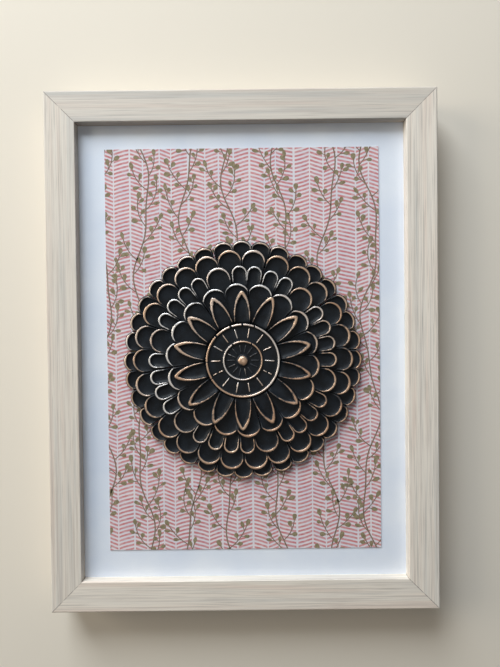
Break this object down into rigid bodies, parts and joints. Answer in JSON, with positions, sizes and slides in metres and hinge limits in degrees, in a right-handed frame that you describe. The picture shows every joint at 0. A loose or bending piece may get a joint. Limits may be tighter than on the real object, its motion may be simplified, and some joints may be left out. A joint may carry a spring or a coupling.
{
  "type": "framed relief rosette wall art",
  "caption": "Small mitred picture frame holding a moulded rosette of cupped petals in stepped tiers, glued on a striped and vine-patterned sheet over a white card.",
  "frame": {"origin": "centre of the frame's rear face, where it lies on a table", "axes": "+Z out of the picture, +Y to the picture's top, +X to the picture's right"},
  "size_m": [0.15, 0.2, 0.0191],
  "materials": {
    "rail_moulding": "pale ash-effect, satin",
    "nail_steel": "bright",
    "white_card": "smooth, faint sheen",
    "patterned_paper": "printed, matt",
    "black_resin": "charcoal with copper-brushed rims",
    "fibreboard": "raw",
    "tab_steel": "dull",
    "hanger_steel": "zinc plated"
  },
  "bodies": {
    "root": {"rail_top": "rail_moulding", "rail_bottom": "rail_moulding", "rail_left": "rail_moulding", "rail_right": "rail_moulding", "corner_nails": "nail_steel", "picture_card": "white_card", "patterned_paper": "patterned_paper", "rosette": "black_resin", "back_board": "fibreboard", "board_tabs": "tab_steel", "sawtooth_hanger": "hanger_steel", "hanger_rivets": "hanger_steel"}
  },
  "joints": []
}
